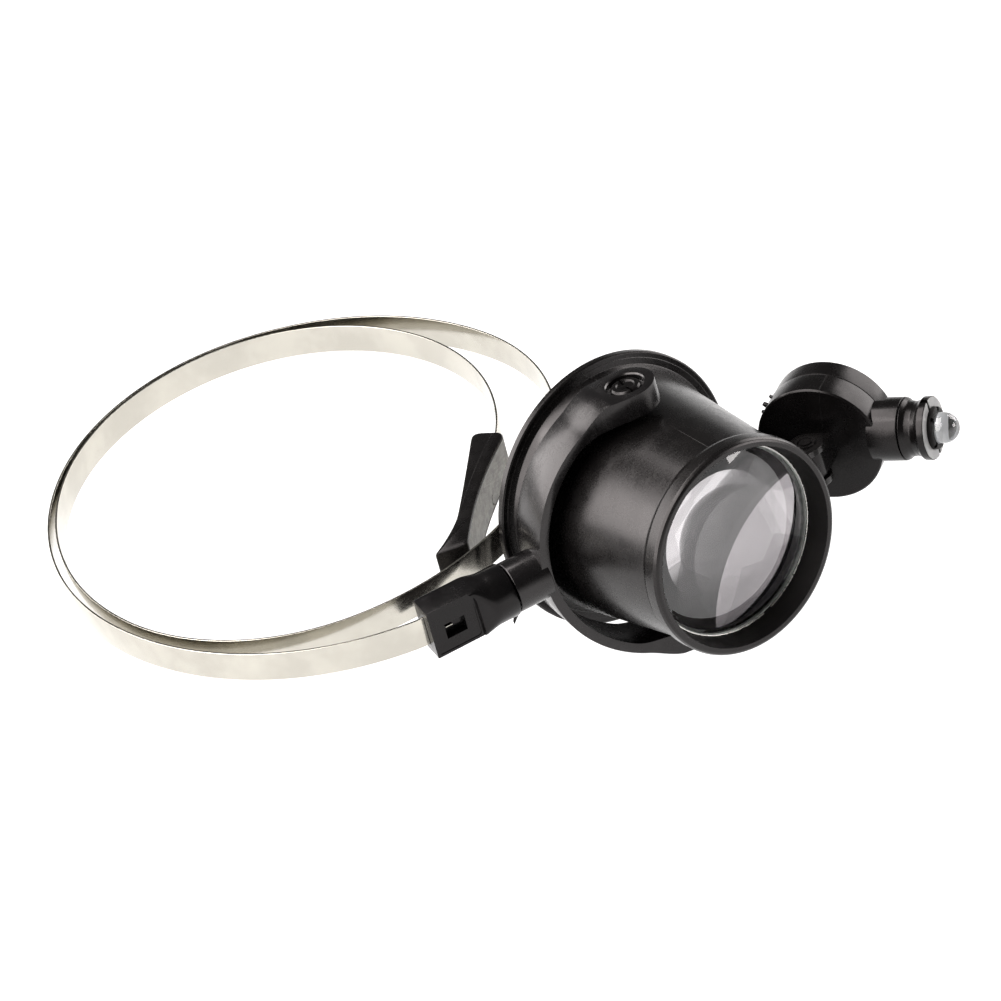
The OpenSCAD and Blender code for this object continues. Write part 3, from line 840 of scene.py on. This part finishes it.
def flat_tools():
    """Cutters for the flat front side and the shallow panel sunk into it."""
    inner_end = -34.9
    past_end, near_end = -socket_end - 2, -socket_end + 0.55
    flat = [(past_end, -6, 0), (inner_end, -6, 0), (inner_end + 0.2, -3.2, 0.8),
            (inner_end, 3.9, 2.4), (inner_end - 3.2, 6, 0), (past_end, 6, 0)]
    panel = [(near_end, -4.15, 0.25), (inner_end - 0.3, -4.15, 0.6), (inner_end - 0.35, 3.6, 2.0),
             (near_end, 3.6, 0.25)]
    tools = []
    for outline, sunk, deep in ((flat, 0, 4), (panel, 0.12, 2)):
        tool = turned(slab("flat", soften(outline, 0, 8), 0, deep, 0), ALONG_MINUS_Y)
        tools.append(turned(tool, Matrix.Translation((0, -socket_t + sunk, 0))))
    return tools


def make_burr():
    """Ragged flash left on the mould line under the socket's round end."""
    x = -stub_end - 0.6
    loops = []
    turns = [2 * math.pi * j / 10 for j in range(10)]
    stations = ((0, 0.8, 0.0), (0.15, 0.5, 0.6), (-0.2, 0.34, 1.2), (-0.4, 0.08, 1.8))
    for k, (dx, width, down) in enumerate(stations):
        centre = Vector((x + dx, -1.2, -4.25 - down))
        offsets = [(width * math.cos(a), 0.12 * math.sin(a), 0.06 * math.sin(3 * a + k)) for a in turns]
        loops.append([tuple(centre + Vector(offset)) for offset in offsets])
    return loft("burr", loops)


# ------------------------------------------------------------------ head pad
pad_len = 31.0
pad_waist = 21.5
pad_h = 8.1
pad_base = -4.9
pad_taper = 2.8
grip_t = 0.6
grip_h = 6.9
band_depth = 3.6
band_offset = 1.15


def pad_frame():
    """Matrix of the pad: +X from its far end to its near end, +Y to its outer side."""
    x, y, way = band_route()[-2]
    along = Vector((math.cos(math.radians(way)), math.sin(math.radians(way)), 0))
    across = Vector((-along.y, along.x, 0))
    far = Vector((x, y, 0)) - band_depth * along - band_offset * across
    return BAND @ Matrix.Translation(far) @ Matrix.Rotation(math.radians(way), 4, "Z")


def pad_inner(x):
    """Offset of the pad's head side at x along it."""
    if x < pad_waist:
        return -1 - 2.05 * (1 - x / pad_waist) ** 1.15
    return -1 - 1.85 * ((x - pad_waist) / (pad_len - pad_waist)) ** 1.7


def pad_outer(x):
    """Offset of the pad's outer side at x along it."""
    return 1.35 + 1.4 * (2 * x / pad_len - 1) ** 2


def pad_side(side, low, high, steps=28):
    """Points along one of the pad's two sides."""
    return [(low + (high - low) * k / steps, side(low + (high - low) * k / steps)) for k in range(steps + 1)]


def make_pad():
    inner = pad_side(pad_inner, 0, pad_len)
    outer = pad_side(pad_outer, 0, pad_len - pad_taper)
    # fewer points next to the corners leave room to round them
    inner = inner[:1] + inner[4:-2] + inner[-1:]
    outer = outer[:1] + outer[4:-2] + outer[-1:]
    corners = {0: 1.6, len(inner) - 1: 0.9}
    outline = [(x, y, corners.get(k, 0)) for k, (x, y) in enumerate(inner)]
    corners = {0: 0.9, len(outer) - 1: 1.6}
    outline += [(x, y, corners.get(k, 0)) for k, (x, y) in enumerate(reversed(outer))]
    body = slab("pad", [p[:2] for p in soften(outline, 0, 5)], pad_base, pad_base + pad_h, 0.4, 2)
    low, high = 0.9, pad_len - pad_taper - 0.9
    face = pad_side(pad_outer, low, high)
    pocket = [(x, y - grip_t) for x, y in face] + [(x, y + 1) for x, y in reversed(face)]
    middle = pad_base + (pad_h - grip_h) / 2
    cutter = slab("pocket", pocket, middle, middle + grip_h, 0)
    combine(body, [cutter])
    combine(body, [top_ridge()], "UNION")
    piece(body, "pad", pad_frame(), "headband", pad_black, ["head_pad"])
    make_grip()


def top_ridge():
    """Raised parting line across the pad's upper face."""
    top = pad_base + pad_h
    loops = []
    steps = 24
    for k in range(steps + 1):
        t = k / steps
        x = 0.4 + 21 * t
        y = 0.55 * (1 - t) + (pad_inner(x) + 0.25) * t
        low, high = top - 0.1, top + 0.05
        loops.append([(x, y - 0.11, low), (x, y + 0.11, low), (x, y + 0.04, high), (x, y - 0.04, high)])
    return loft("ridge", loops)


def make_grip():
    """Ribbed plate let into the pad's outer side, with a small crescent slot."""
    low, high = 1.0, pad_len - pad_taper - 1.0
    pitch, depth = 0.42, 0.11
    count = int((high - low) / pitch)
    outer = []
    for k in range(count + 1):
        for part, drop_by in ((0.0, depth), (0.25, 0.0), (0.7, 0.0), (0.95, depth)):
            x = low + pitch * (k + part)
            if x <= high:
                outer.append((x, pad_outer(x) - 0.03 - drop_by))
    inner = [(x, y - grip_t) for x, y in pad_side(pad_outer, low, outer[-1][0], 24)]
    middle = pad_base + (pad_h - grip_h) / 2
    gap = 0.06   # between the plate and the sides of its pocket
    plate = slab("grip", inner + outer[::-1], middle + gap, middle + grip_h - gap, 0)
    combine(plate, [crescent()])
    piece(plate, "pad_grip", pad_frame(), "headband", grip_painted_reflection, ["pad_grip_plate"], sharp=25)


def crescent():
    """Cutter for a thumbnail slot, open towards the loupe."""
    x, z, r = 9.6, pad_base + 1.9, 1.2
    points = []
    for k in range(13):
        a = math.radians(-60 + 10 * k)
        points.append((x + r * math.cos(a), z + r * math.sin(a)))
    for k in range(13):
        a = math.radians(60 - 10 * k)
        points.append((x - 0.55 + 1.25 * r * math.cos(a) * 0.95, z + r * math.sin(a)))
    tool = slab("crescent", points, 0, 4, 0)
    turned(tool, ALONG_MINUS_Y)
    return turned(tool, Matrix.Translation((0, 4.2, 0)))


def make_headband():
    make_band()
    make_socket()
    make_pad()


# ------------------------------------------------------------------ lamp
disc_r = 10.4
shell_y = 4.9
shell_t = 4.6
split_y = shell_y + shell_t
cover_y = split_y + 0.2
cover_t = 3.9
tube_y = 8.9
tube_r = 5.1
shoulder_x = 13.6
head_end = 18.2
led_r = 2.5
cell_pocket_r = 8.3
spigot_r = 9.0
knuckle_r = 2.5
passage_r = 3.15
knuckle_h = ear_gap - 0.3
TUBE = LAMP @ Matrix.Translation((0, tube_y, 0)) @ ALONG_X          # local Z along the tube


def make_housing():
    floor = 6.2
    recess_r, recess_y = spigot_r + 0.05, split_y - 1.7
    profile = [(0, shell_y, 0), (disc_r - 0.28, shell_y, 0.05), (disc_r, shell_y + 0.22, 0.12),
               (disc_r, split_y, 0.1), (recess_r, split_y, 0.05), (recess_r, recess_y, 0.05),
               (cell_pocket_r, recess_y, 0.05), (cell_pocket_r, floor, 0.2), (0, floor, 0)]
    shell = turned(lathe("shell", soften(profile, 0, 4), 180), ALONG_Y)
    root = 7.4
    profile = [(passage_r, root, 0.1), (tube_r, root, 0.1), (tube_r, shoulder_x - 0.05, 0.1),
               (tube_r - 0.12, shoulder_x, 0.05), (passage_r, shoulder_x, 0.1)]
    tube_axis = Matrix.Translation((0, tube_y, 0)) @ ALONG_X
    tube = turned(lathe("tube", soften(profile, 0, 3), 120), tube_axis)
    # beside the cover the tube starts outside its rim, and below the split outside the cell pocket
    keep = block("keep", (disc_r + 0.35, shell_y - 2, -7), (30, 20, 7))
    combine(keep, [block("low", (8.6, shell_y - 2, -7), (disc_r + 0.5, split_y, 7))], "UNION")
    modified(tube, "BOOLEAN", object=keep, operation="INTERSECT", solver="MANIFOLD")
    drop(keep)
    knuckle = rod("knuckle", knuckle_r, -knuckle_h / 2, knuckle_h / 2, 64, 0.15)
    web = block("web", (-knuckle_r, 0, -knuckle_h / 2), (knuckle_r, shell_y + 0.5, knuckle_h / 2))
    combine(shell, [tube, knuckle, web] + shell_lines(), "UNION")
    bore = rod("bore", 1.05, -5, 5, 40)
    passage = turned(rod("passage", passage_r, 7.0, 16.0, 64), tube_axis)
    combine(shell, [bore, passage])
    piece(shell, "lamp_shell", LAMP, "lamp", lamp_black, ["lamp_housing"], sharp=32)


def shell_lines():
    """Mould lines across the shell's face and up its side, with ragged flash on the -X side."""
    line_w, line_h = 0.24, 0.06
    route = ((2.3, disc_r - 0.45), (2.0, 8.4), (1.5, 5.7), (1.3, 3.0), (1.0, 0.1), (1.0, -6))
    face = [Vector((x, shell_y, z)) for x, z in route]
    lines = [ridge(face, [Vector((0, -1, 0))] * len(face), line_w, line_h)]
    turn = math.acos(2.2 / disc_r)
    side = [Vector((disc_r * math.cos(turn), y, disc_r * math.sin(turn)))
            for y in (shell_y + 0.3, 7.0, split_y - 0.15)]
    lines.append(ridge(side, [Vector((math.cos(turn), 0, math.sin(turn)))] * 3, line_w, line_h))
    flash = ((139, 8.7, 0.55), (144, 7.4, 0.8), (150, 6.9, 0.45), (147, 8.0, 0.35))
    for k, (angle, y, size) in enumerate(flash):
        turn = math.radians(angle)
        outward = Vector((math.cos(turn), 0, math.sin(turn)))
        base = outward * (disc_r - 0.1)
        path = [base + Vector((0, y + step, 0)) for step in (-size / 2, 0, size / 2)]
        lines.append(ridge(path, [outward] * 3, 0.5 + 0.1 * k, size, 0.3))
    return lines


def make_cover():
    top = cover_y + cover_t
    roof, spigot_end = cover_y + 1.8, cover_y - 1.5
    profile = [(0, roof, 0), (cell_pocket_r, roof, 0.1), (cell_pocket_r, spigot_end, 0.05),
               (spigot_r, spigot_end, 0.1), (spigot_r, cover_y, 0.05), (disc_r - 0.1, cover_y, 0.1),
               (disc_r - 0.1, top - 0.3, 0.15), (disc_r - 0.4, top, 0.2), (0, top, 0)]
    cover = turned(lathe("cover", soften(profile, 0, 5), 180), ALONG_Y)
    slot = slab("coin_slot", soften([(-5, -0.7), (5, -0.7), (5, 0.7), (-5, 0.7)], 0.6, 5), 0, 3, 0)
    turned(slot, Matrix.Translation((0, top + 2, 0)) @ ALONG_MINUS_Y)
    combine(cover, [slot])
    piece(cover, "lamp_cover", LAMP, "battery_cover", lamp_black, ["battery_cover"], sharp=32)


def flange_slots():
    """Cutter for the two slots across the lamp head's flange."""
    return block("slots", (-6, -0.4, head_end - 1.1), (6, 0.4, head_end + 1))


def make_lamp_head():
    """Waisted end of the tube with a slotted flange, a pale face ring and a collar."""
    neck = tube_r - 0.72
    face = head_end - 0.16
    bore, tail_r, tail_end = led_r + 0.1, 3.1, 11.2
    start = shoulder_x + 0.12
    profile = [(bore, tail_end, 0), (tail_r, tail_end, 0.1), (tail_r, start, 0.05),
               (tube_r - 0.2, start, 0.05), (tube_r - 0.1, shoulder_x + 0.3, 0.1),
               (neck + 0.12, shoulder_x + 0.95, 0.8), (neck, shoulder_x + 2.0, 0.8),
               (neck + 0.25, head_end - 1.75, 0.6), (tube_r, head_end - 1.2, 0.2),
               (tube_r, face, 0.06), (tube_r - 0.2, face, 0.02), (bore, face, 0)]
    head = lathe("head", soften(profile, 0, 5), 120)
    combine(head, [flange_slots()])
    piece(head, "lamp_neck", TUBE, "lamp_head", lamp_black, ["lamp_head"], sharp=32)
    ring = ring_at("ring", 3.42, tube_r - 0.14, face + 0.01, head_end, 0.05)
    combine(ring, [flange_slots()])
    piece(ring, "lamp_face_ring", TUBE, "lamp_head", ring_grey)
    inner, outer = led_r + 0.03, 3.4
    base, top = face + 0.02, head_end + 0.88
    profile = [(inner, base, 0.02), (outer, base, 0.02), (outer, head_end + 0.7, 0.12),
               (3.2, top, 0.1), (inner, top, 0.05)]
    collar = lathe("collar", soften(profile, 0, 4), 96)
    notches = [turned(block("notch", (2.7, -0.35, head_end + 0.45), (4, 0.35, head_end + 2)),
                      Matrix.Rotation(math.radians(angle), 4, "Z")) for angle in (20, 95, 155, 215, 300)]
    combine(collar, notches)
    piece(collar, "lamp_collar", TUBE, "lamp_head", inner_black, ["led_collar"], sharp=32)


def make_led():
    """Clear 5 mm lamp with its reflector cup, post and die inside."""
    base = head_end - 4.5
    top = head_end + 1.7
    dome = [(led_r * math.cos(math.radians(90 * k / 18)), top + led_r * math.sin(math.radians(90 * k / 18)))
            for k in range(19)]
    bulb = lathe("bulb", [(0, base), (led_r - 0.05, base), (led_r, base + 0.1)] + dome, 72)
    piece(bulb, "led_bulb", TUBE, "lamp_head", epoxy, ["led"], sharp=60)
    z = head_end - 0.4
    profile = [(0, z - 1.6, 0), (0.5, z - 1.6, 0.05), (0.6, z - 0.3, 0.1), (2.2, z - 0.1, 0.1),
               (2.3, z + 1.5, 0.05), (1.7, z + 1.4, 0.1), (0.55, z + 0.8, 0.1), (0, z + 0.75, 0)]
    cup = lathe("cup", soften(profile, 0, 4), 48)
    piece(cup, "led_cup", TUBE, "lamp_head", led_pale)
    die = block("die", (-0.35, -0.35, z + 0.72), (0.35, 0.35, z + 0.95), 0.04)
    piece(die, "led_die", TUBE, "lamp_head", phosphor)


def make_lamp():
    make_housing()
    make_cover()
    make_lamp_head()
    make_led()


# ------------------------------------------------------------------ CAD nodes that stay
def dress_frame():
    """Gives the CAD nodes that stay visible their materials."""
    looks = {
        "lens_spacer": spacer_green, "lamp_hinge_pin": lamp_black, "contact_spring": contact_metal,
        "coin_cells": cell_steel, "contact_plate": contact_metal, "led_leads": wire_steel,
    }
    for name, material in looks.items():
        data = frame["nodes"][name].data
        data.materials.clear()
        data.materials.append(material)


# ------------------------------------------------------------------ stage
def make_stage():
    low = cad_box[0]
    gap = 0.0002   # between the floor and the part's lowest point
    bpy.ops.mesh.primitive_grid_add(x_subdivisions=8, y_subdivisions=8, size=6,
                                    location=(0, 0, low.z - gap))
    floor = bpy.context.object
    floor.name = "floor"
    material, tree, shader = start_material("floor_white")
    clouds = ramp(tree, grain(tree, 40, 3), 0, 1)
    shade = blend_colour(tree, clouds, (0.22, 0.22, 0.22), (0.25, 0.25, 0.25))
    tree.links.new(shade, shader.inputs["Base Color"])
    shader.inputs["Roughness"].default_value = 0.9
    shader.inputs["Specular IOR Level"].default_value = 0.1
    shader.inputs["Emission Color"].default_value = (1, 1, 1, 1)
    # painted pool of light: the floor's emission is strongest just in front of the lens and fades outwards
    where = node(tree, "ShaderNodeTexCoord")
    away = node(tree, "ShaderNodeVectorMath", operation="DISTANCE")
    away.inputs[1].default_value = (0.05, -0.11, 0)
    tree.links.new(where.outputs["Object"], away.inputs[0])
    painted_light_pool = ramp(tree, away.outputs["Value"], 1.3, 0.92, 0.05, 0.14)
    tree.links.new(painted_light_pool, shader.inputs["Emission Strength"])
    floor.data.materials.append(material)


def make_world():
    """Dim grey room above a white horizon."""
    world = bpy.data.worlds.new("studio")
    bpy.context.scene.world = world
    world.use_nodes = True
    tree = world.node_tree
    tree.nodes.clear()
    where = node(tree, "ShaderNodeTexCoord")
    split = node(tree, "ShaderNodeSeparateXYZ")
    tree.links.new(where.outputs["Generated"], split.inputs["Vector"])
    strength = ramp(tree, split.outputs["Z"], 1.0, 0.12, 0.0, 0.22)
    background = node(tree, "ShaderNodeBackground", Color=(1, 0.99, 0.98, 1))
    tree.links.new(strength, background.inputs["Strength"])
    output = node(tree, "ShaderNodeOutputWorld")
    tree.links.new(background.outputs[0], output.inputs["Surface"])


def softbox(name, azimuth, height, reach, size, radiance, tint):
    """Area light seen from the part in one direction. Azimuth 0 is +Y, 90 is +X."""
    middle = (cad_box[0] + cad_box[1]) / 2
    turn, rise = math.radians(azimuth), math.radians(height)
    way = Vector((math.sin(turn) * math.cos(rise), math.cos(turn) * math.cos(rise), math.sin(rise)))
    data = bpy.data.lights.new(name, "AREA")
    data.shape = "RECTANGLE"
    data.size, data.size_y = size
    data.energy = radiance * math.pi * size[0] * size[1]
    data.color = tint
    lamp = bpy.data.objects.new(name, data)
    lamp.location = middle + way * reach
    lamp.rotation_mode = "QUATERNION"
    lamp.rotation_quaternion = (-way).to_track_quat("-Z", "Y")
    lamp.visible_camera = False
    lamp.visible_transmission = False
    bpy.context.scene.collection.objects.link(lamp)


def make_lights():
    warm = (1.0, 0.96, 0.95)
    softbox("left", -84, 38, 0.7, (0.75, 0.85), 8.0, warm)
    softbox("above", -40, 76, 0.7, (0.6, 0.3), 9.0, warm)
    softbox("back_left", -34, 26, 0.9, (0.8, 0.55), 6.0, warm)
    softbox("right", 90, 18, 0.7, (0.4, 0.5), 6.0, warm)
    softbox("right_front", 134, 4, 0.7, (0.3, 0.3), 8.0, warm)


def make_camera():
    """Camera that sees the part as the photograph does."""
    data = bpy.data.cameras.new("photo_view")
    focal_ratio = 3.996004   # focal length over the sensor's width
    data.sensor_width = 36
    data.lens = data.sensor_width * focal_ratio
    data.clip_start, data.clip_end = 0.01, 20
    camera = bpy.data.objects.new("photo_view", data)
    right = Vector((0.7689, -0.5811, -0.2667)).normalized()
    forward = Vector((0.4022, 0.7639, -0.5046)).normalized()
    up = right.cross(forward).normalized()
    right = forward.cross(up)
    # the tilt axis lies this far right of, below and beyond the camera, in millimetres
    seen_at = (25.68, -1.36, 634.92)
    place = Vector(pivot) - (right * seen_at[0] + up * seen_at[1] + forward * seen_at[2]) * MM
    camera.matrix_world = Matrix((
        (right.x, up.x, -forward.x, place.x),
        (right.y, up.y, -forward.y, place.y),
        (right.z, up.z, -forward.z, place.z),
        (0, 0, 0, 1),
    ))
    bpy.context.scene.collection.objects.link(camera)
    bpy.context.scene.camera = camera


make_camera()
make_loupe()
make_yoke()
make_headband()
make_lamp()
dress_frame()
make_stage()
make_world()
make_lights()
bpy.context.scene.view_settings.view_transform = "Standard"
